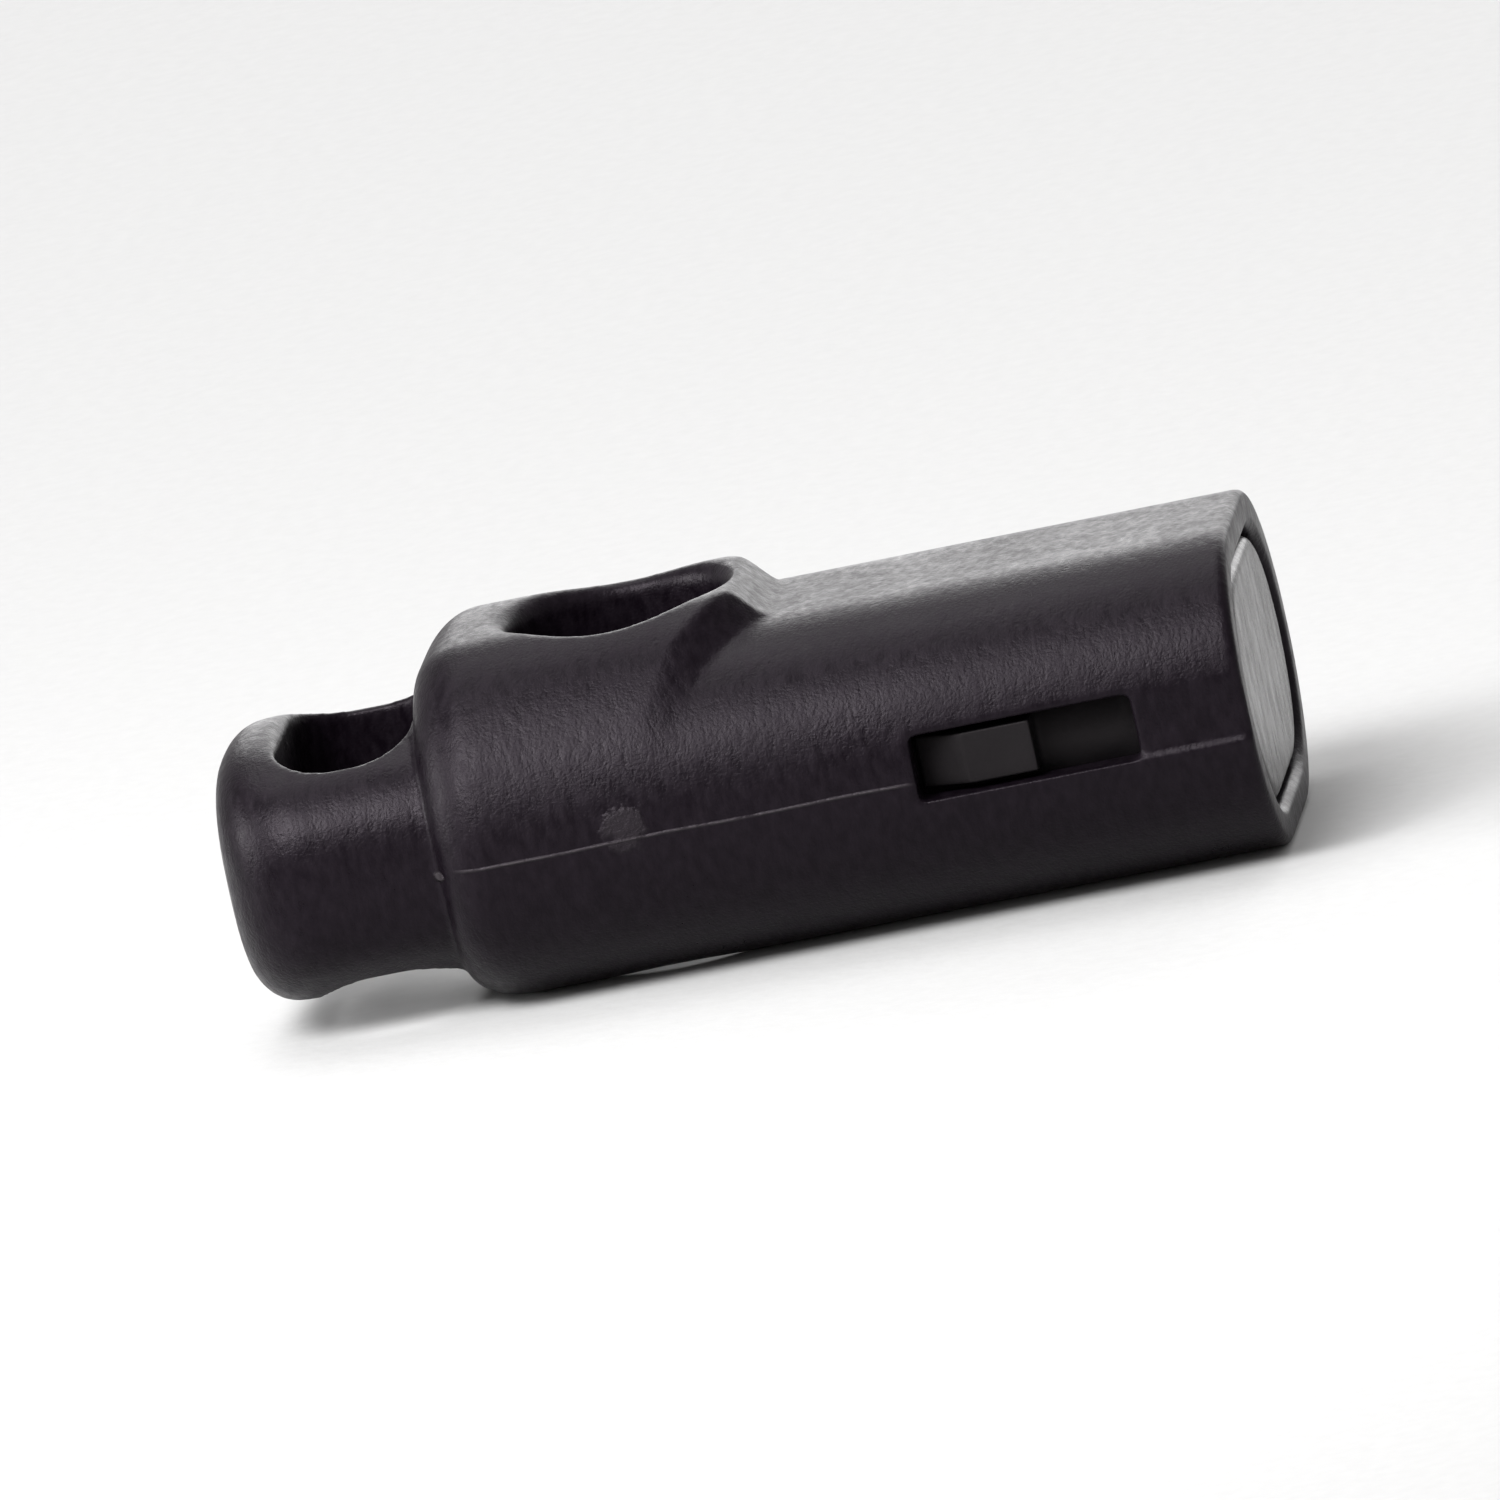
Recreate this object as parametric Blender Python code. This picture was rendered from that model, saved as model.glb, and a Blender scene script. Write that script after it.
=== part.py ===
"""Spring cord lock with a tail loop: barrel, plunger and return spring, at rest with the plunger pressed in.

+X runs along the barrel from the tail loop to the push face, +Z runs up the cord hole, and Y is the width.
The origin is under the middle of the lock, on the flat that it lies on. Lengths are in metres.
Stations along the lock are measured from the end of the tail loop, and heights from the barrel's mid-plane.
"""

import math

import bmesh
import bpy

# Overall sizes.
LENGTH = 0.0304
WIDTH = 0.0142
BARREL_HEIGHT = 0.0094
LIP_RISE = 0.0010
WALL = 0.0011

# Tail loop.
TAIL_LENGTH = 0.00655
TAIL_THICKNESS = 0.0078
TAIL_INSET = 0.0012  # how much narrower the tail is than the barrel, on each side
TAIL_FULLNESS = 2.5  # 2 makes the tail's section an ellipse, more makes it squarer
TAIL_CORNER = 0.0026
TAIL_EDGE = 0.0013
LOOP_BAR = 0.0020
LOOP_SIDE = 0.00185
LOOP_CORNER = 0.0018
LOOP_EDGE = 0.00025
LOOP_OVERLAP = 0.0001  # how far the loop's rounded edge bites into the shoulder
SHOULDER_ROUND = 0.0015
SHOULDER_BOW = 0.0004  # how much further the shoulder reaches at the middle than at the sides
MOUTH_ROUND = 0.00025
MOUTH_LEAD = 0.0002

# Cord hole.
HOLE_STATION = 0.0123
HOLE_RADIUS = 0.0032
HOLE_FLARE = 0.0006
LIP_WIDTH = 0.0010
LIP_CROWNING = 4  # more keeps the lip's rise closer to the middle of the top
LIP_RUN = 0.0013  # length of the lip's slope down to the barrel's top

# Travel, clearances and stops.
TRAVEL = 0.0029
RUNNING_GAP = 0.0002
STOP_GAP = 0.0001
END_GAP = 0.0003
FACE_SETBACK = 0.0001

# Inside of the barrel and the plunger's yoke.
PASSAGE_HEIGHT = 0.0050
CROSSBAR = 0.0011
WEB = 0.0010
HEAD_LENGTH = 0.0036
HEAD_EDGE = 0.0004

# Side windows and the catches that run in them.
CATCH_LENGTH = 0.0034
CATCH_HEIGHT = 0.0015
CATCH_LEVEL = 0.00035
CATCH_SETBACK = 0.0004
CATCH_RAMP = 0.0014
BRIDGE_LENGTH = 0.0033
BRIDGE_RECESS = 0.00018

# Return spring.
WIRE = 0.00055
COILS = 6.0
DEAD_COILS = 1.0
DEAD_GAP = 0.00006
SPRING_SIDE_GAP = 0.0003
BOSS_GAP = 0.0004
BOSS_LENGTH = 0.0012
BOSS_EDGE = 0.00025

ARC_STEPS = 22
TURN_STEPS = 64
OVERCUT = 0.002

# Sizes that follow from the ones above.
HALF_WIDTH = WIDTH / 2
HALF_HEIGHT = BARREL_HEIGHT / 2
TAIL_HALF_WIDTH = HALF_WIDTH - TAIL_INSET
TAIL_HALF_HEIGHT = TAIL_THICKNESS / 2
CAVITY_HALF_WIDTH = HALF_WIDTH - WALL
CAVITY_HALF_HEIGHT = HALF_HEIGHT - WALL
HEAD_HALF_WIDTH = CAVITY_HALF_WIDTH - RUNNING_GAP
HEAD_HALF_HEIGHT = CAVITY_HALF_HEIGHT - RUNNING_GAP
YOKE_HALF_HEIGHT = PASSAGE_HEIGHT / 2 - RUNNING_GAP
CROSSBAR_STATION = HOLE_STATION - HOLE_RADIUS - CROSSBAR
CAVITY_STATION = CROSSBAR_STATION - END_GAP
SLOT_STATION = HOLE_STATION + HOLE_RADIUS + WEB
LEDGE_STATION = SLOT_STATION + TRAVEL + RUNNING_GAP
FACE_STATION = LENGTH - FACE_SETBACK
HEAD_STATION = FACE_STATION - HEAD_LENGTH
WINDOW_END = LENGTH - BRIDGE_LENGTH
WINDOW_START = WINDOW_END - CATCH_LENGTH - TRAVEL - 2 * STOP_GAP
CATCH_START = WINDOW_START + STOP_GAP
WINDOW_HALF_HEIGHT = CATCH_HEIGHT / 2 + RUNNING_GAP
SPRING_RADIUS = (PASSAGE_HEIGHT / 2 + CAVITY_HALF_HEIGHT) / 2 + WIRE / 4
SLOT_HALF_WIDTH = SPRING_RADIUS + SPRING_SIDE_GAP
SPRING_START = LEDGE_STATION + STOP_GAP
SPRING_END = HEAD_STATION - STOP_GAP
BOSS_RADIUS = SPRING_RADIUS - WIRE - BOSS_GAP


def world(station, y, height):
    """A point of the lock in the shared frame."""
    return (station - LENGTH / 2, y, height + HALF_HEIGHT)


def blend(start, end, share):
    return start + (end - start) * share


def clear_scene():
    for obj in list(bpy.data.objects):
        bpy.data.objects.remove(obj, do_unlink=True)


def rounded_outline(half_a, half_b, corner, steps=ARC_STEPS, centre=(0.0, 0.0)):
    """A rectangle with rounded corners, anticlockwise. Equal corner and half size make a flat oval."""
    points = []
    for turn in range(4):
        sign_a = 1 if turn in (0, 3) else -1
        sign_b = 1 if turn in (0, 1) else -1
        for step in range(steps + 1):
            angle = (turn + step / steps) * math.pi / 2
            a = sign_a * (half_a - corner) + corner * math.cos(angle)
            b = sign_b * (half_b - corner) + corner * math.sin(angle)
            points.append((a + centre[0], b + centre[1]))
    return points


def mesh_object(name, rings, caps=True):
    """A closed surface through rings of points that all have the same count, with a flat cap at each end."""
    shape = bmesh.new()
    rows = []
    for ring in rings:
        rows.append([shape.verts.new(point) for point in ring])
    count = len(rows[0])
    for low, high in zip(rows, rows[1:]):
        for i in range(count):
            j = (i + 1) % count
            shape.faces.new((low[i], low[j], high[j], high[i]))
    if caps:
        shape.faces.new(rows[0][::-1])
        shape.faces.new(rows[-1])
    bmesh.ops.remove_doubles(shape, verts=shape.verts, dist=1e-7)
    bmesh.ops.dissolve_degenerate(shape, edges=shape.edges, dist=1e-8)
    bmesh.ops.recalc_face_normals(shape, faces=shape.faces)
    mesh = bpy.data.meshes.new(name)
    shape.to_mesh(mesh)
    shape.free()
    obj = bpy.data.objects.new(name, mesh)
    bpy.context.scene.collection.objects.link(obj)
    return obj


def combine(target, other, operation):
    """Adds or takes away another closed shape, which is then gone."""
    step = target.modifiers.new(operation.lower(), "BOOLEAN")
    step.operation = operation
    step.solver = "EXACT"
    step.object = other
    bpy.context.view_layer.update()
    graph = bpy.context.evaluated_depsgraph_get()
    result = bpy.data.meshes.new_from_object(target.evaluated_get(graph))
    target.modifiers.clear()
    target.data = result
    bpy.data.objects.remove(other, do_unlink=True)


def material(name, colour, roughness, metallic):
    made = bpy.data.materials.new(name)
    made.use_nodes = True
    surface = made.node_tree.nodes["Principled BSDF"]
    surface.inputs["Base Color"].default_value = (*colour, 1.0)
    surface.inputs["Roughness"].default_value = roughness
    surface.inputs["Metallic"].default_value = metallic
    return made


def finish(obj, surface, sharp_angle=math.radians(38)):
    obj.data.materials.clear()
    obj.data.materials.append(surface)
    for face in obj.data.polygons:
        face.use_smooth = True
    obj.data.set_sharp_from_angle(angle=sharp_angle)


def section(station, half_width, half_height, corner, steps=ARC_STEPS):
    """A ring of the lock square to its length."""
    outline = rounded_outline(half_width, half_height, corner, steps)
    return [world(station, y, height) for y, height in outline]


def prism(name, stations, half_width, half_height, corner):
    rings = [section(station, half_width, half_height, corner) for station in stations]
    return mesh_object(name, rings)


def block(name, stations, ys, heights):
    """A box between pairs of stations, widths and heights."""
    rings = []
    for station in stations:
        corners = ((ys[0], heights[0]), (ys[1], heights[0]), (ys[1], heights[1]), (ys[0], heights[1]))
        rings.append([world(station, y, height) for y, height in corners])
    return mesh_object(name, rings)


def tail_outline(half_width, half_height):
    """The tail's section, a squared ellipse, point for point with rounded_outline."""
    points = []
    for turn in range(4):
        sign_y = 1 if turn in (0, 3) else -1
        sign_height = 1 if turn in (0, 1) else -1
        for step in range(ARC_STEPS + 1):
            angle = (turn + step / ARC_STEPS) * math.pi / 2
            y = sign_y * half_width * abs(math.cos(angle)) ** (2 / TAIL_FULLNESS)
            height = sign_height * half_height * abs(math.sin(angle)) ** (2 / TAIL_FULLNESS)
            points.append((y, height))
    return points


def tail_top(y):
    """How high the tail's surface is above the mid-plane, this far from its middle."""
    share = min(1.0, abs(y) / TAIL_HALF_WIDTH)
    return TAIL_HALF_HEIGHT * (1 - share**TAIL_FULLNESS) ** (1 / TAIL_FULLNESS)


def barrel_top(y):
    """How high the barrel's surface is above the mid-plane, this far from its middle, without the lip."""
    past_flat = max(0.0, abs(y) - (HALF_WIDTH - HALF_HEIGHT))
    return math.sqrt(max(0.0, HALF_HEIGHT**2 - past_flat**2))


def lifted(height, share=1.0):
    """A height on the barrel's section with this share of the lip: the crown rises, the sides hardly do."""
    return height + share * LIP_RISE * (max(0.0, height) / HALF_HEIGHT) ** LIP_CROWNING


def lip_end(y):
    """The station where the lip's top ends: an arch round the cord hole, right across the barrel."""
    reach = HOLE_RADIUS + LIP_WIDTH
    return HOLE_STATION + reach * math.cos(y / (2 * reach) * math.pi / 2) ** 2


def bow(y):
    """How much further towards the tail the shoulder reaches here than at its sides."""
    return SHOULDER_BOW * (1 - (y / HALF_WIDTH) ** 2)


def tail_rings():
    """The tail loop's outside, rounded in plan and at its end."""
    rings = []
    for step in range(11):
        station = TAIL_CORNER * (1 - math.cos(step / 10 * math.pi / 2))
        side = math.sqrt(max(0.0, TAIL_CORNER**2 - (TAIL_CORNER - station) ** 2))
        edge = math.sqrt(max(0.0, TAIL_EDGE**2 - max(0.0, TAIL_EDGE - station) ** 2))
        outline = tail_outline(TAIL_HALF_WIDTH - TAIL_CORNER + side, TAIL_HALF_HEIGHT - TAIL_EDGE + edge)
        rings.append([world(station, y, height) for y, height in outline])
    return rings


def shoulder_rings():
    """A quarter-round shoulder, bowed in plan, from the tail's section out to the barrel's and its lip."""
    inner = tail_outline(TAIL_HALF_WIDTH, TAIL_HALF_HEIGHT)
    outer = rounded_outline(HALF_WIDTH, HALF_HEIGHT, HALF_HEIGHT)
    rings = []
    for step in range(13):
        angle = step / 12 * math.pi / 2
        ring = []
        for (inner_y, inner_height), (outer_y, outer_height) in zip(inner, outer):
            y = blend(inner_y, outer_y, math.sin(angle))
            height = blend(inner_height, lifted(outer_height), math.sin(angle))
            station = TAIL_LENGTH + SHOULDER_ROUND * (1 - math.cos(angle)) - bow(y) * math.cos(angle)
            ring.append(world(station, y, height))
        rings.append(ring)
    return rings


def barrel_rings():
    """The straight flat oval, with the lip round the cord hole and a rounded mouth."""
    outline = rounded_outline(HALF_WIDTH, HALF_HEIGHT, HALF_HEIGHT)
    rings = []
    for step in range(11):
        run = step / 10
        share = 1 - run * run * (3 - 2 * run)
        rings.append([world(lip_end(y) + LIP_RUN * run, y, lifted(height, share)) for y, height in outline])
    for step in range(7):
        angle = step / 6 * math.pi / 2
        inset = MOUTH_ROUND * (1 - math.cos(angle))
        station = LENGTH - MOUTH_ROUND + MOUTH_ROUND * math.sin(angle)
        rings.append(section(station, HALF_WIDTH - inset, HALF_HEIGHT - inset, HALF_HEIGHT - inset))
    return rings


def oval_ring(half_x, half_y, height, steps=TURN_STEPS):
    ring = []
    for step in range(steps):
        angle = 2 * math.pi * step / steps
        ring.append(world(HOLE_STATION + half_x * math.cos(angle), half_y * math.sin(angle), height))
    return ring


def flared_cutter(name, outline, flare, top, bottom):
    """A cutter for a through opening whose walls turn out smoothly into the surfaces above and below it."""
    clear = HALF_HEIGHT + LIP_RISE + OVERCUT
    turns = [step / 6 * math.pi / 2 for step in range(7)]
    profile = [(flare * (1 - math.sin(turn)), flare * (1 - math.cos(turn))) for turn in turns]
    rings = [[world(station, y, -clear) for station, y in outline(flare)]]
    for spread, depth in profile:
        rings.append([world(station, y, depth - bottom(y)) for station, y in outline(spread)])
    for spread, depth in reversed(profile):
        rings.append([world(station, y, top(y) - depth) for station, y in outline(spread)])
    rings.append([world(station, y, clear) for station, y in outline(flare)])
    return mesh_object(name, rings)


def cord_hole():
    def outline(spread):
        radius = HOLE_RADIUS + spread
        turns = [2 * math.pi * step / TURN_STEPS for step in range(TURN_STEPS)]
        return [(HOLE_STATION + radius * math.cos(turn), radius * math.sin(turn)) for turn in turns]

    def top(y):
        return lifted(barrel_top(y))

    return flared_cutter("cord_hole", outline, HOLE_FLARE, top, barrel_top)


def loop_opening():
    """The tail loop's through opening. Its inner end follows the bow of the shoulder."""
    start = LOOP_BAR
    end = TAIL_LENGTH - LOOP_EDGE + LOOP_OVERLAP
    half_length = (end - start) / 2
    half_width = TAIL_HALF_WIDTH - LOOP_SIDE

    def outline(spread):
        corner = LOOP_CORNER + spread
        centre = (start + half_length, 0.0)
        points = rounded_outline(half_length + spread, half_width + spread, corner, 10, centre)
        return [(station - bow(y) * max(0.0, station - start) / (end - start), y) for station, y in points]

    return flared_cutter("loop_opening", outline, LOOP_EDGE, tail_top, tail_top)


def wide_bore():
    """The barrel's inside round the plunger's head and the spring, with a lead-in at the mouth."""
    stations = (LEDGE_STATION, LENGTH - MOUTH_LEAD, LENGTH + OVERCUT)
    spreads = (0.0, 0.0, MOUTH_LEAD + OVERCUT)
    rings = []
    for station, spread in zip(stations, spreads):
        half_height = CAVITY_HALF_HEIGHT + spread
        rings.append(section(station, CAVITY_HALF_WIDTH + spread, half_height, half_height))
    return mesh_object("wide_bore", rings)


def make_barrel(surface):
    barrel = mesh_object("barrel", tail_rings() + shoulder_rings() + barrel_rings())
    combine(barrel, wide_bore(), "DIFFERENCE")
    passage = prism(
        "passage",
        (CAVITY_STATION, LEDGE_STATION + OVERCUT / 2),
        CAVITY_HALF_WIDTH,
        PASSAGE_HEIGHT / 2,
        PASSAGE_HEIGHT / 2,
    )
    combine(barrel, passage, "DIFFERENCE")
    combine(barrel, cord_hole(), "DIFFERENCE")
    combine(barrel, loop_opening(), "DIFFERENCE")
    heights = (CATCH_LEVEL - WINDOW_HALF_HEIGHT, CATCH_LEVEL + WINDOW_HALF_HEIGHT)
    for side in (-1, 1):
        through = sorted((side * (CAVITY_HALF_WIDTH - WALL), side * (HALF_WIDTH + OVERCUT)))
        combine(barrel, block("window", (WINDOW_START, WINDOW_END), through, heights), "DIFFERENCE")
        recess = sorted((side * (HALF_WIDTH - BRIDGE_RECESS), side * (HALF_WIDTH + OVERCUT)))
        stations = (WINDOW_END - WALL, LENGTH + OVERCUT)
        combine(barrel, block("bridge_recess", stations, recess, heights), "DIFFERENCE")
    finish(barrel, surface)


def catch(side):
    """One side catch: a ramp leads it in past the barrel's bridge, and its square face holds there."""
    base = HEAD_HALF_WIDTH - WALL
    tip = HALF_WIDTH - CATCH_SETBACK
    foot = HEAD_HALF_WIDTH + RUNNING_GAP
    heights = (CATCH_LEVEL - CATCH_HEIGHT / 2, CATCH_LEVEL + CATCH_HEIGHT / 2)
    outline = (
        (CATCH_START, base),
        (CATCH_START, foot),
        (CATCH_START + CATCH_RAMP, tip),
        (CATCH_START + CATCH_LENGTH, tip),
        (CATCH_START + CATCH_LENGTH, base),
    )
    rings = [[world(station, side * y, height) for station, y in outline] for height in heights]
    return mesh_object("catch", rings)


def head():
    rings = [section(HEAD_STATION, HEAD_HALF_WIDTH, HEAD_HALF_HEIGHT, HEAD_HALF_HEIGHT)]
    for step in range(6):
        angle = step / 5 * math.pi / 2
        inset = HEAD_EDGE * (1 - math.cos(angle))
        rings.append(
            section(
                FACE_STATION - HEAD_EDGE + HEAD_EDGE * math.sin(angle),
                HEAD_HALF_WIDTH - inset,
                HEAD_HALF_HEIGHT - inset,
                HEAD_HALF_HEIGHT - inset,
            )
        )
    return mesh_object("plunger", rings)


def yoke_blank():
    """The flat part of the plunger, with its inner corners rounded off."""
    rings = []
    nose = CROSSBAR / 2
    for step in range(5):
        angle = step / 4 * math.pi / 2
        station = CROSSBAR_STATION + nose * (1 - math.sin(angle))
        inset = nose * (1 - math.cos(angle))
        half_height = YOKE_HALF_HEIGHT - inset / 2
        rings.append(section(station, HEAD_HALF_WIDTH - inset, half_height, half_height))
    rings.reverse()
    rings.append(section(HEAD_STATION + HEAD_LENGTH / 4, HEAD_HALF_WIDTH, YOKE_HALF_HEIGHT, YOKE_HALF_HEIGHT))
    return mesh_object("yoke", rings)


def spring_slot():
    """The opening in the yoke for the spring, with rounded inner corners."""
    half_length = (HEAD_STATION - SLOT_STATION) / 2
    centre = (SLOT_STATION + half_length, 0.0)
    outline = rounded_outline(half_length, SLOT_HALF_WIDTH, WEB / 2, 5, centre)
    rings = []
    for height in (-HALF_HEIGHT, HALF_HEIGHT):
        rings.append([world(station, y, height) for station, y in outline])
    return mesh_object("spring_slot", rings)


def boss():
    """The short stub on the head that keeps the spring central."""
    rings = []
    for station, radius in (
        (HEAD_STATION - BOSS_LENGTH, BOSS_RADIUS - BOSS_EDGE),
        (HEAD_STATION - BOSS_LENGTH + BOSS_EDGE, BOSS_RADIUS),
        (HEAD_STATION + HEAD_LENGTH / 4, BOSS_RADIUS),
    ):
        rings.append(section(station, radius, radius, radius, 10))
    return mesh_object("boss", rings)


def make_plunger(surface):
    plunger = head()
    combine(plunger, yoke_blank(), "UNION")
    combine(plunger, spring_slot(), "DIFFERENCE")
    hole_rings = [oval_ring(HOLE_RADIUS, HOLE_RADIUS, height) for height in (-HALF_HEIGHT, HALF_HEIGHT)]
    combine(plunger, mesh_object("plunger_hole", hole_rings), "DIFFERENCE")
    combine(plunger, boss(), "UNION")
    for side in (-1, 1):
        combine(plunger, catch(side), "UNION")
    finish(plunger, surface)


def spring_centre_line():
    """Points on the coil's centre line: a closed coil at each end and an open pitch between."""
    coil_radius = SPRING_RADIUS - WIRE / 2
    start = SPRING_START + WIRE / 2
    end = SPRING_END - WIRE / 2
    dead_pitch = WIRE + DEAD_GAP
    live_pitch = (end - start - 2 * DEAD_COILS * dead_pitch) / (COILS - 2 * DEAD_COILS)
    points = []
    steps = int(COILS * 24)
    for step in range(steps + 1):
        turns = COILS * step / steps
        early = min(turns, DEAD_COILS)
        late = max(0.0, turns - (COILS - DEAD_COILS))
        station = start + (early + late) * dead_pitch + (turns - early - late) * live_pitch
        angle = 2 * math.pi * turns
        points.append((station, coil_radius * math.cos(angle), coil_radius * math.sin(angle), angle))
    return points


def make_spring(surface):
    rings = []
    for station, y, height, angle in spring_centre_line():
        ring = []
        for step in range(10):
            around = 2 * math.pi * step / 10
            outward = WIRE / 2 * math.cos(around)
            along = WIRE / 2 * math.sin(around)
            ring.append(
                world(station + along, y + outward * math.cos(angle), height + outward * math.sin(angle))
            )
        rings.append(ring)
    spring = mesh_object("return_spring", rings)
    finish(spring, surface, math.radians(60))


def main():
    clear_scene()
    make_barrel(material("barrel_plastic", (0.020, 0.018, 0.020), 0.48, 0.0))
    make_plunger(material("plunger_plastic", (0.024, 0.022, 0.024), 0.42, 0.0))
    make_spring(material("spring_steel", (0.60, 0.59, 0.57), 0.28, 1.0))


main()
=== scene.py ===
import math

import bmesh
import bpy
from mathutils import Matrix, Vector


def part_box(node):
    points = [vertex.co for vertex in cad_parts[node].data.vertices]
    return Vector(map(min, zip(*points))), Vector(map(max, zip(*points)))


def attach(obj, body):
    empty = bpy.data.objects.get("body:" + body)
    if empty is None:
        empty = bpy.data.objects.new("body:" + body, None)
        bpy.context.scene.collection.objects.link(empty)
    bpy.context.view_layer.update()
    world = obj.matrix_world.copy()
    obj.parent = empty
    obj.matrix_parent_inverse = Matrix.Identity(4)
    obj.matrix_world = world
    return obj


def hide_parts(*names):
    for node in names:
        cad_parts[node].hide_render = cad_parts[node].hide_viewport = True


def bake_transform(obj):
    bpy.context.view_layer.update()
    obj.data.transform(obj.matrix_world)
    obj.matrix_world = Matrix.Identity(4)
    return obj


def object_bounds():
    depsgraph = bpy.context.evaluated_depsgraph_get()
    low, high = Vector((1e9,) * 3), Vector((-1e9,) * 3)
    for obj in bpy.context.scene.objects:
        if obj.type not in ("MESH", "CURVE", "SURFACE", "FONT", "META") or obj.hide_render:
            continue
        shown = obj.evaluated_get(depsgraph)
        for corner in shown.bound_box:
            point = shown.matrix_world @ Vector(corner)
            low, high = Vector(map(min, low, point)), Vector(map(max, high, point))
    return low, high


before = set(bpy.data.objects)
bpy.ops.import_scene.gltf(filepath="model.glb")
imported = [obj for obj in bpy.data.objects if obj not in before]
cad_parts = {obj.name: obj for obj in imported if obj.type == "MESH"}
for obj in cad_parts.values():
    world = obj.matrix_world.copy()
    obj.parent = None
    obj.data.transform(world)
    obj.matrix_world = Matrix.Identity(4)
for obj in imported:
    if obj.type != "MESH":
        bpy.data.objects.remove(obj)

CAD_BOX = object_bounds()

# Places read from the frame, in metres.
BARREL_LOW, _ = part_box("barrel")
_, PLUNGER_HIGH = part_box("plunger")
SPRING_LOW, SPRING_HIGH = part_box("return_spring")
MID_HEIGHT = (SPRING_LOW[2] + SPRING_HIGH[2]) / 2
TAIL_END = BARREL_LOW[0]
NEAR_SIDE = BARREL_LOW[1]

# The moulded skins: the spacing of their points, and how often their edges are smoothed.
SHELL_VOXEL = 0.00011
PLUNGER_VOXEL = 0.00010
SMOOTHING_PASSES = 3

# Sizes of the marks in the plastic.
GRAIN = 0.00009
STREAK = 0.00026
STREAK_SIZE = (STREAK, STREAK * 1.6, STREAK * 2.2)
BARREL_CLOUD = 0.004
PLUNGER_CLOUD = 0.003
SCUFF_SIZE = (0.0012, 0.0006, 0.0018)

# Depths of the relief that is too fine for the mesh.
BARREL_GRAIN_DEPTH = 0.000015
PLUNGER_GRAIN_DEPTH = 0.000006
PARTING_DEPTH = 0.00005
GATE_DEPTH = 0.00008
NUB_DEPTH = 0.00010
WIRE_LINE_DEPTH = 0.000004
PAPER_DEPTH = 0.00002

# Colours.
BARREL_DARK = (0.0034, 0.0020, 0.0037)
BARREL_PALE = (0.0078, 0.0054, 0.0082)
# Painted highlight for the parting line.
PARTING_HIGHLIGHT_COLOUR = (0.060, 0.053, 0.058)
GATE_COLOUR = (0.036, 0.031, 0.035)
# Painted highlight for the nub.
NUB_HIGHLIGHT_COLOUR = (0.050, 0.044, 0.048)
PLUNGER_DARK = (0.0038, 0.0033, 0.0038)
PLUNGER_PALE = (0.0072, 0.0062, 0.0070)
# Paler sharp edges: partly edge wear, partly a painted highlight.
WORN_AND_HIGHLIT_EDGE = (0.022, 0.019, 0.021)
WIRE_DARK = (0.46, 0.45, 0.44)
WIRE_PALE = (0.66, 0.65, 0.63)
PAPER_DARK = (0.53, 0.53, 0.53)
PAPER_PALE = (0.55, 0.55, 0.55)

# Details of the mould, measured from the tail end and the mid-plane.
PARTING_START = 0.0072
PARTING_END = 0.0203
PARTING_WIDTH = 0.00007
PARTING_WANDER = 0.00012
GATE_STATION = 0.0121
GATE_LEVEL = 0.00035
GATE_RADIUS = 0.00065
GATE_RAGGED = 0.0004
NUB_STATION = 0.0064
NUB_LEVEL = -0.0002
NUB_RADIUS = 0.00016
NUB_RAGGED = 0.00008

# The spring.
WIRE_RADIUS = 0.000275
COILS = 6.0
DEAD_COILS = 1.0
DEAD_GAP = 0.00004
STEPS_PER_COIL = 40
WIRE_SIDES = 16

# The view: angles in degrees.
AZIMUTH = 7.5
ELEVATION = 11.0
ROLL = 12.6
LENS_MM = 1250.0
DISTANCE = 1.5
FLOOR_HALF = 1.2


# ---- Material helpers ----


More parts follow.
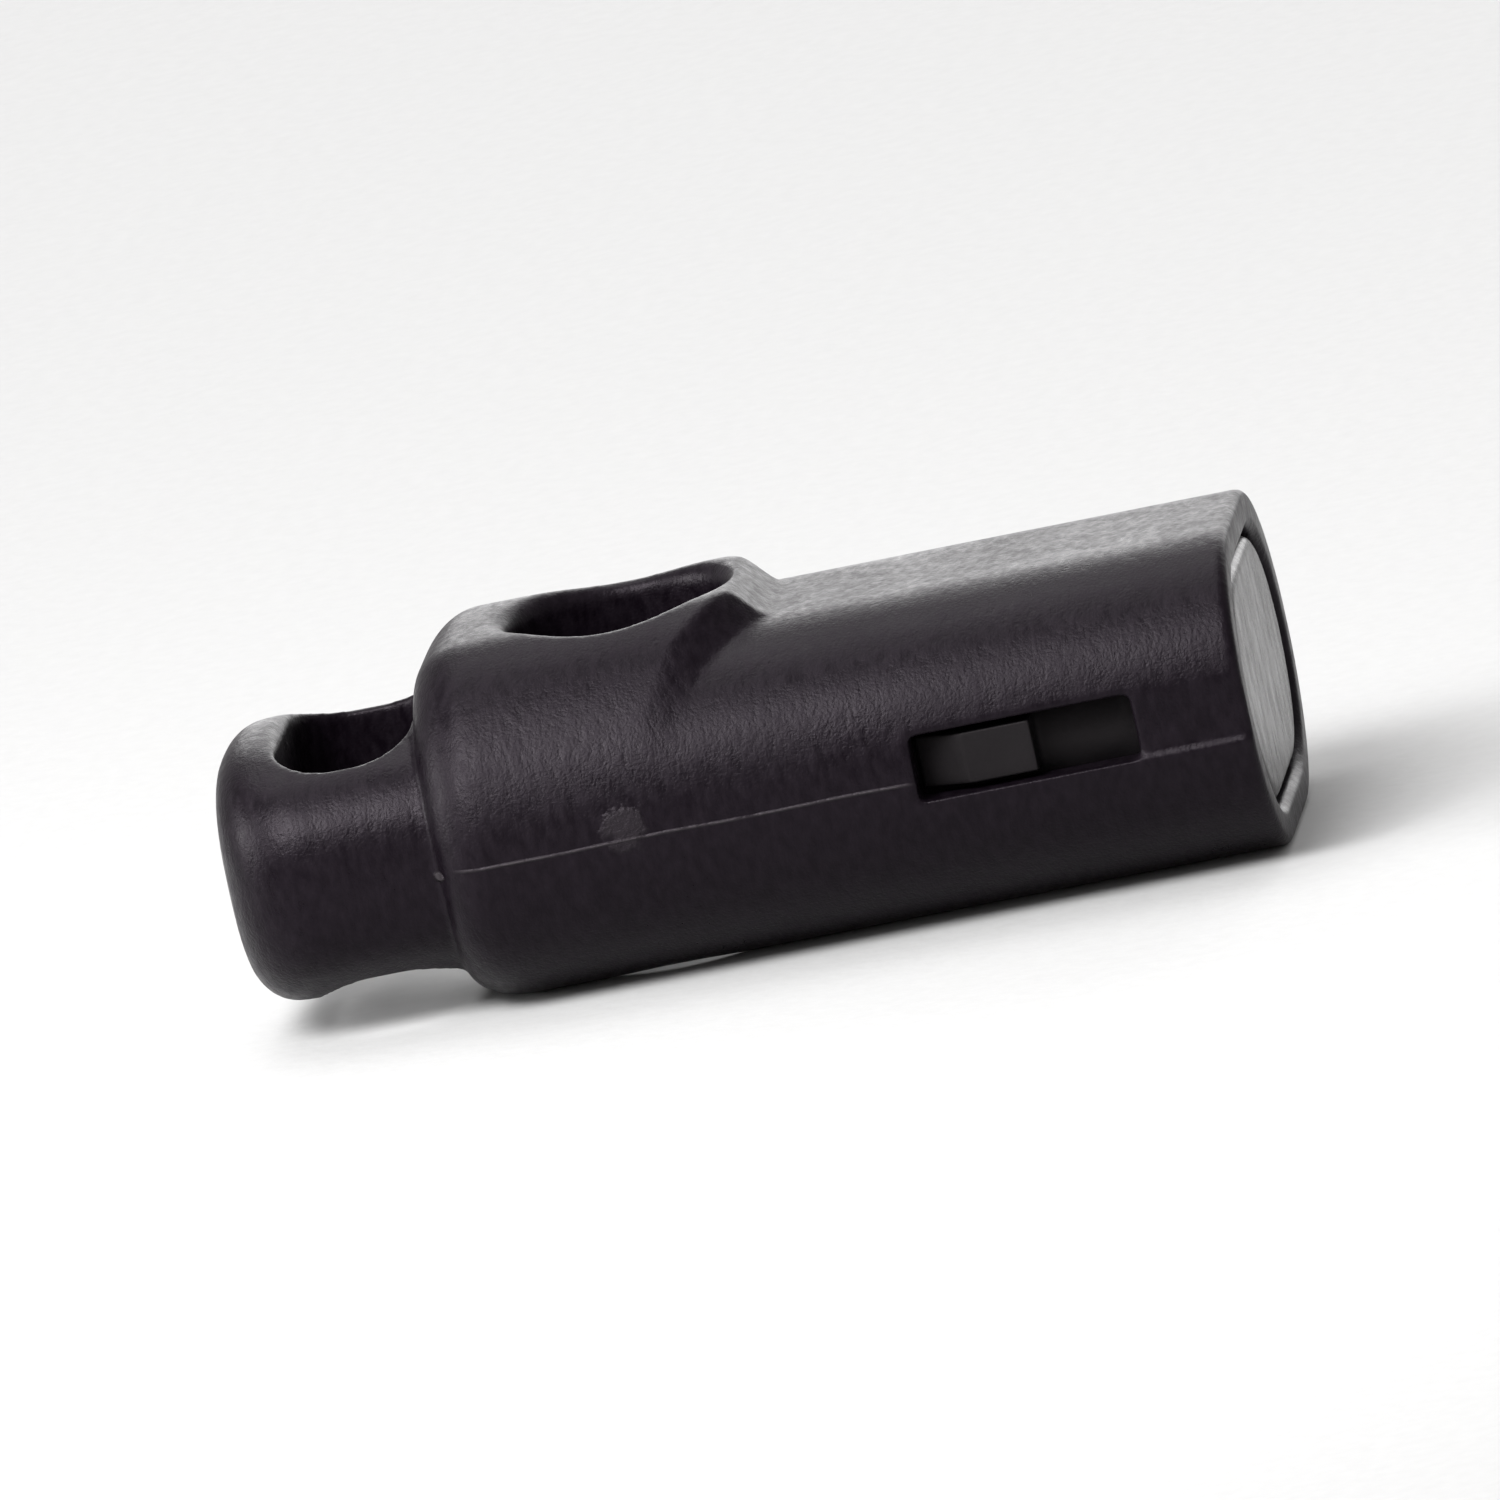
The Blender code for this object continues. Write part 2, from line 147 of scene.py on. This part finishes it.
class Nodes:
    """A short way to build a material's node tree."""

    def __init__(self, name):
        self.material = bpy.data.materials.new(name)
        self.material.use_nodes = True
        self.tree = self.material.node_tree
        self.tree.nodes.clear()
        self.output = self.tree.nodes.new("ShaderNodeOutputMaterial")
        self.surface = self.tree.nodes.new("ShaderNodeBsdfPrincipled")
        self.tree.links.new(self.surface.outputs[0], self.output.inputs["Surface"])
        self.coords = self.tree.nodes.new("ShaderNodeTexCoord").outputs["Object"]

    def link(self, source, target):
        self.tree.links.new(source, target)

    def fill(self, socket, value):
        if isinstance(value, bpy.types.NodeSocket):
            self.link(value, socket)
        else:
            socket.default_value = value

    def math(self, operation, *values, clamp=False):
        node = self.tree.nodes.new("ShaderNodeMath")
        node.operation = operation
        node.use_clamp = clamp
        for socket, value in zip(node.inputs, values):
            self.fill(socket, value)
        return node.outputs[0]

    def stretch(self, scale):
        node = self.tree.nodes.new("ShaderNodeVectorMath")
        node.operation = "MULTIPLY"
        self.link(self.coords, node.inputs[0])
        node.inputs[1].default_value = scale
        return node.outputs[0]

    def noise(self, scale, detail=2.0, roughness=0.5):
        """Noise of about this size of grain: one number, or one for each axis, in metres."""
        sizes = scale if isinstance(scale, tuple) else (scale, scale, scale)
        node = self.tree.nodes.new("ShaderNodeTexNoise")
        self.link(self.stretch(tuple(1 / size for size in sizes)), node.inputs["Vector"])
        node.inputs["Scale"].default_value = 1.0
        node.inputs["Detail"].default_value = detail
        node.inputs["Roughness"].default_value = roughness
        return node.outputs["Fac"]

    def axis(self, letter):
        node = self.tree.nodes.new("ShaderNodeSeparateXYZ")
        self.link(self.coords, node.inputs[0])
        return node.outputs[letter]

    def remap(self, value, low, high, to_low=0.0, to_high=1.0, smooth=False):
        node = self.tree.nodes.new("ShaderNodeMapRange")
        node.interpolation_type = "SMOOTHSTEP" if smooth else "LINEAR"
        self.fill(node.inputs["Value"], value)
        node.inputs["From Min"].default_value = low
        node.inputs["From Max"].default_value = high
        node.inputs["To Min"].default_value = to_low
        node.inputs["To Max"].default_value = to_high
        return node.outputs[0]

    def mix(self, factor, low, high):
        node = self.tree.nodes.new("ShaderNodeMix")
        node.data_type = "RGBA"
        self.fill(node.inputs["Factor"], factor)
        colours = [socket for socket in node.inputs if socket.type == "RGBA"]
        for socket, value in zip(colours, (low, high)):
            self.fill(socket, value if isinstance(value, bpy.types.NodeSocket) else (*value, 1.0))
        return next(socket for socket in node.outputs if socket.type == "RGBA")

    def bump(self, height, depth, normal=None):
        node = self.tree.nodes.new("ShaderNodeBump")
        node.inputs["Strength"].default_value = 1.0
        node.inputs["Distance"].default_value = depth
        self.link(height, node.inputs["Height"])
        if normal is not None:
            self.link(normal, node.inputs["Normal"])
        return node.outputs[0]

    def near(self, value, centre, width):
        """1 on a line where value is centre, falling to 0 at this distance from it."""
        away = self.math("ABSOLUTE", self.math("SUBTRACT", value, centre))
        return self.remap(away, 0.0, width, 1.0, 0.0, smooth=True)

    def between(self, value, low, high, soft):
        """1 between two values, with soft ends."""
        rise = self.remap(value, low - soft, low + soft, smooth=True)
        fall = self.remap(value, high - soft, high + soft, 1.0, 0.0, smooth=True)
        return self.math("MULTIPLY", rise, fall)


def edge_wear_and_highlight(nodes):
    """1 on sharp outer edges, 0 elsewhere."""
    geometry = nodes.tree.nodes.new("ShaderNodeNewGeometry")
    return nodes.remap(geometry.outputs["Pointiness"], 0.575, 0.68, smooth=True)


def mould_texture(nodes, depth):
    """Fine spark-eroded grain with slightly longer marks across the part."""
    grain = nodes.noise(GRAIN, 3.0, 0.6)
    streaks = nodes.noise(STREAK_SIZE, 2.0, 0.6)
    return nodes.bump(streaks, depth * 1.4, nodes.bump(grain, depth))


def parting_line(nodes):
    """1 on the thin, slightly wandering and broken line where the mould's halves met."""
    along = nodes.between(
        nodes.axis("X"), TAIL_END + PARTING_START, TAIL_END + PARTING_END, 0.0004
    )
    wander = nodes.math("MULTIPLY", nodes.noise(0.0035, 1.0), PARTING_WANDER)
    centred = nodes.math("SUBTRACT", wander, PARTING_WANDER / 2)
    level = nodes.math("ADD", nodes.math("SUBTRACT", nodes.axis("Z"), MID_HEIGHT), centred)
    broken = nodes.remap(nodes.noise(0.0009, 3.0, 0.7), 0.3, 0.6, 0.25, 1.0)
    on_line = nodes.math("MULTIPLY", nodes.near(level, 0.0, PARTING_WIDTH), along)
    return nodes.math("MULTIPLY", on_line, broken)


def spot(nodes, station, level, radius, ragged):
    """1 inside a small disc with a ragged edge on the barrel's near side."""
    dx = nodes.math("SUBTRACT", nodes.axis("X"), TAIL_END + station)
    dz = nodes.math("SUBTRACT", nodes.axis("Z"), MID_HEIGHT + level)
    squares = nodes.math("ADD", nodes.math("POWER", dx, 2.0), nodes.math("POWER", dz, 2.0))
    away = nodes.math("SQRT", squares)
    centred = nodes.math("SUBTRACT", nodes.noise(0.0003, 2.0), 0.5)
    edge = nodes.math("ADD", away, nodes.math("MULTIPLY", centred, 2 * ragged))
    disc = nodes.remap(edge, radius * 0.6, radius * 1.2, 1.0, 0.0, smooth=True)
    near = nodes.remap(nodes.axis("Y"), NEAR_SIDE + 0.002, NEAR_SIDE + 0.003, 1.0, 0.0)
    return nodes.math("MULTIPLY", disc, near)


def barrel_plastic():
    """Black matt moulding with the mould's parting line and the mark where the plastic went in; the
    parting line and the small nub carry a painted highlight in their colour.
    """
    nodes = Nodes("barrel_plastic_look")
    streaks = nodes.noise(STREAK_SIZE, 2.0, 0.6)
    cloud = nodes.noise(BARREL_CLOUD, 2.0)
    line = parting_line(nodes)
    gate = spot(nodes, GATE_STATION, GATE_LEVEL, GATE_RADIUS, GATE_RAGGED)
    nub = spot(nodes, NUB_STATION, NUB_LEVEL, NUB_RADIUS, NUB_RAGGED)

    colour = nodes.mix(nodes.remap(streaks, 0.35, 0.75), BARREL_DARK, BARREL_PALE)
    # Painted highlight: the parting line is painted lighter to stand in for the light its fine
    # ridge catches.
    colour = nodes.mix(nodes.math("MULTIPLY", line, 0.8), colour, PARTING_HIGHLIGHT_COLOUR)
    colour = nodes.mix(nodes.math("MULTIPLY", gate, 0.35), colour, GATE_COLOUR)
    # Painted highlight: the small nub is painted lighter to stand in for the glints on it.
    colour = nodes.mix(nodes.math("MULTIPLY", nub, 0.6), colour, NUB_HIGHLIGHT_COLOUR)
    nodes.link(colour, nodes.surface.inputs["Base Color"])

    rough = nodes.remap(cloud, 0.3, 0.7, 0.32, 0.40)
    rough = nodes.math("ADD", rough, nodes.remap(streaks, 0.3, 0.7, -0.07, 0.07))
    rough = nodes.math("ADD", rough, nodes.math("MULTIPLY", gate, 0.12))
    nodes.link(rough, nodes.surface.inputs["Roughness"])
    nodes.surface.inputs["IOR"].default_value = 1.46
    nodes.surface.inputs["Specular IOR Level"].default_value = 0.145
    nodes.surface.inputs["Specular Tint"].default_value = (1.0, 0.90, 1.0, 1.0)

    gate_relief = nodes.math("MULTIPLY", gate, nodes.noise(0.0002, 3.0, 0.7))
    normal = mould_texture(nodes, BARREL_GRAIN_DEPTH)
    normal = nodes.bump(line, PARTING_DEPTH, normal)
    normal = nodes.bump(gate_relief, GATE_DEPTH, normal)
    normal = nodes.bump(nub, NUB_DEPTH, normal)
    nodes.link(normal, nodes.surface.inputs["Normal"])
    return nodes.material


def plunger_plastic():
    """Black moulding with a smoother push face."""
    nodes = Nodes("plunger_plastic_look")
    cloud = nodes.noise(PLUNGER_CLOUD, 3.0)
    face_start = PLUNGER_HIGH[0] - 0.0004
    face_end = PLUNGER_HIGH[0] - 0.0001
    face = nodes.remap(nodes.axis("X"), face_start, face_end, smooth=True)
    colour = nodes.mix(nodes.remap(cloud, 0.3, 0.7), PLUNGER_DARK, PLUNGER_PALE)
    # The sharp edges are painted paler: partly edge wear, partly a painted highlight along them.
    colour = nodes.mix(nodes.math("MULTIPLY", edge_wear_and_highlight(nodes), 0.4), colour, WORN_AND_HIGHLIT_EDGE)
    nodes.link(colour, nodes.surface.inputs["Base Color"])
    scuffs = nodes.remap(nodes.noise(SCUFF_SIZE, 4.0, 0.65), 0.35, 0.7, 0.20, 0.34)
    off_face = nodes.math("SUBTRACT", 1.0, face)
    rough = nodes.math("ADD", scuffs, nodes.math("MULTIPLY", off_face, 0.30))
    nodes.link(rough, nodes.surface.inputs["Roughness"])
    nodes.surface.inputs["IOR"].default_value = 1.5
    nodes.surface.inputs["Specular IOR Level"].default_value = 0.21
    nodes.surface.inputs["Specular Tint"].default_value = (1.0, 0.92, 0.96, 1.0)
    grain = nodes.noise(GRAIN * 1.3, 2.0)
    nodes.link(nodes.bump(grain, PLUNGER_GRAIN_DEPTH), nodes.surface.inputs["Normal"])
    return nodes.material


def spring_steel():
    """Drawn wire: fine lines round the coil and a slightly dulled shine."""
    nodes = Nodes("spring_steel_look")
    drawn = nodes.noise((0.00006, 0.0009, 0.0009), 3.0, 0.6)
    colour = nodes.mix(nodes.remap(drawn, 0.3, 0.7), WIRE_DARK, WIRE_PALE)
    nodes.link(colour, nodes.surface.inputs["Base Color"])
    nodes.surface.inputs["Metallic"].default_value = 1.0
    nodes.link(nodes.remap(drawn, 0.3, 0.7, 0.22, 0.36), nodes.surface.inputs["Roughness"])
    nodes.link(nodes.bump(drawn, WIRE_LINE_DEPTH), nodes.surface.inputs["Normal"])
    return nodes.material


def floor_paper():
    """Pale seamless paper."""
    nodes = Nodes("floor_paper_look")
    fibre = nodes.noise(0.0006, 4.0)
    colour = nodes.mix(nodes.remap(fibre, 0.3, 0.7), PAPER_DARK, PAPER_PALE)
    nodes.link(colour, nodes.surface.inputs["Base Color"])
    nodes.surface.inputs["Roughness"].default_value = 0.9
    nodes.surface.inputs["Specular IOR Level"].default_value = 0.2
    nodes.link(nodes.bump(fibre, PAPER_DEPTH), nodes.surface.inputs["Normal"])
    return nodes.material


# ---- Pieces ----


def add_object(name, mesh, surface=None):
    obj = bpy.data.objects.new(name, mesh)
    bpy.context.scene.collection.objects.link(obj)
    if surface is not None:
        mesh.materials.clear()
        mesh.materials.append(surface)
    return obj


def apply_modifiers(obj):
    """Makes the object's modifiers part of its mesh."""
    bpy.context.view_layer.update()
    graph = bpy.context.evaluated_depsgraph_get()
    mesh = bpy.data.meshes.new_from_object(obj.evaluated_get(graph))
    obj.modifiers.clear()
    obj.data = mesh


def moulded(name, node, voxel):
    """A CAD node's shape as an even fine skin, whose edges are rounded as moulded plastic's are."""
    obj = add_object(name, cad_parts[node].data.copy())
    remesh = obj.modifiers.new("skin", "REMESH")
    remesh.mode = "VOXEL"
    remesh.voxel_size = voxel
    remesh.use_smooth_shade = True
    smooth = obj.modifiers.new("edges", "SMOOTH")
    smooth.factor = 0.5
    smooth.iterations = SMOOTHING_PASSES
    apply_modifiers(obj)
    for face in obj.data.polygons:
        face.use_smooth = True
    return obj


def make_barrel():
    barrel = moulded("barrel_shell", "barrel", SHELL_VOXEL)
    barrel.data.materials.clear()
    barrel.data.materials.append(barrel_plastic())
    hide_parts("barrel")
    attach(barrel, "barrel")


def make_plunger():
    plunger = moulded("plunger_body", "plunger", PLUNGER_VOXEL)
    plunger.data.materials.clear()
    plunger.data.materials.append(plunger_plastic())
    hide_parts("plunger")
    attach(plunger, "plunger")


def spring_points():
    """The coil's centre line: how far along it is, its radius and how far round it is.

    It fills the CAD spring's box, with closed coils at the ends and open ones between.
    """
    coil_radius = (SPRING_HIGH[2] - SPRING_LOW[2]) / 2 - WIRE_RADIUS
    start = SPRING_LOW[0] + WIRE_RADIUS
    end = SPRING_HIGH[0] - WIRE_RADIUS
    dead_pitch = 2 * WIRE_RADIUS + DEAD_GAP
    live_pitch = (end - start - 2 * DEAD_COILS * dead_pitch) / (COILS - 2 * DEAD_COILS)
    count = int(COILS * STEPS_PER_COIL)
    for step in range(count + 1):
        turns = COILS * step / count
        early = min(turns, DEAD_COILS)
        late = max(0.0, turns - (COILS - DEAD_COILS))
        x = start + (early + late) * dead_pitch + (turns - early - late) * live_pitch
        angle = 2 * math.pi * turns
        yield x, coil_radius, angle


def make_spring():
    shape = bmesh.new()
    rows = []
    for x, coil_radius, angle in spring_points():
        row = []
        for step in range(WIRE_SIDES):
            around = 2 * math.pi * step / WIRE_SIDES
            along = x + WIRE_RADIUS * math.sin(around)
            radius = coil_radius + WIRE_RADIUS * math.cos(around)
            y = radius * math.cos(angle)
            z = MID_HEIGHT + radius * math.sin(angle)
            row.append(shape.verts.new((along, y, z)))
        rows.append(row)
    for low, high in zip(rows, rows[1:]):
        for i in range(WIRE_SIDES):
            j = (i + 1) % WIRE_SIDES
            shape.faces.new((low[i], low[j], high[j], high[i]))
    shape.faces.new(rows[0][::-1])
    shape.faces.new(rows[-1])
    bmesh.ops.recalc_face_normals(shape, faces=shape.faces)
    for face in shape.faces:
        face.smooth = True
    mesh = bpy.data.meshes.new("spring_coil")
    shape.to_mesh(mesh)
    shape.free()
    spring = add_object("spring_coil", mesh, spring_steel())
    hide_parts("return_spring")
    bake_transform(spring)


# ---- Floor, light and camera ----


def make_floor():
    sides = ((-1, -1), (1, -1), (1, 1), (-1, 1))
    corners = [(x * FLOOR_HALF, y * FLOOR_HALF, 0) for x, y in sides]
    mesh = bpy.data.meshes.new("floor")
    mesh.from_pydata(corners, [], [(0, 1, 2, 3)])
    floor = add_object("floor", mesh, floor_paper())
    floor.location.z = CAD_BOX[0][2]


def view_axes():
    """The camera's right, up and back directions."""
    turn = math.radians(AZIMUTH)
    lift = math.radians(ELEVATION)
    roll = math.radians(ROLL)
    level = Vector((math.sin(turn), -math.cos(turn), 0))
    back = level * math.cos(lift) + Vector((0, 0, math.sin(lift)))
    right = Vector((math.cos(turn), math.sin(turn), 0))
    up = back.cross(right)
    return (
        right * math.cos(roll) - up * math.sin(roll),
        right * math.sin(roll) + up * math.cos(roll),
        back,
    )


def make_camera():
    right, up, back = view_axes()
    centre = (CAD_BOX[0] + CAD_BOX[1]) / 2
    camera = bpy.data.objects.new("camera", bpy.data.cameras.new("camera"))
    bpy.context.scene.collection.objects.link(camera)
    camera.data.lens = LENS_MM
    camera.data.clip_start = 0.1
    turned = Matrix((right, up, back)).transposed().to_4x4()
    camera.matrix_world = Matrix.Translation(centre + back * DISTANCE) @ turned
    bpy.context.scene.camera = camera
    bpy.context.scene.view_settings.view_transform = "Standard"


def soft_light(name, place, target, size, power):
    """A round softbox that faces the target."""
    data = bpy.data.lights.new(name, "AREA")
    data.shape = "DISK"
    data.size = size
    data.energy = power
    light = bpy.data.objects.new(name, data)
    bpy.context.scene.collection.objects.link(light)
    light.location = place
    aim = Vector(target) - Vector(place)
    light.rotation_euler = aim.to_track_quat("-Z", "Y").to_euler()


def make_light():
    world = bpy.data.worlds.new("studio")
    world.use_nodes = True
    background = world.node_tree.nodes["Background"]
    background.inputs["Color"].default_value = (1.0, 0.985, 0.98, 1.0)
    background.inputs["Strength"].default_value = 0.44
    bpy.context.scene.world = world
    middle = (0, 0, 0)
    tail = (-0.012, 0, 0.005)
    soft_light("front_softbox", (-0.17, -0.34, 0.48), middle, 0.34, 2.9)
    soft_light("overhead_softbox", (-0.07, 0.18, 0.52), middle, 0.36, 0.9)
    soft_light("rear_softbox", (0.06, 0.55, 0.17), middle, 0.50, 1.5)
    soft_light("left_softbox", (-0.52, -0.06, 0.20), middle, 0.28, 1.9)
    soft_light("tail_softbox", (-0.048, -0.060, 0.070), tail, 0.05, 0.06)


make_barrel()
make_plunger()
make_spring()
make_floor()
make_light()
make_camera()
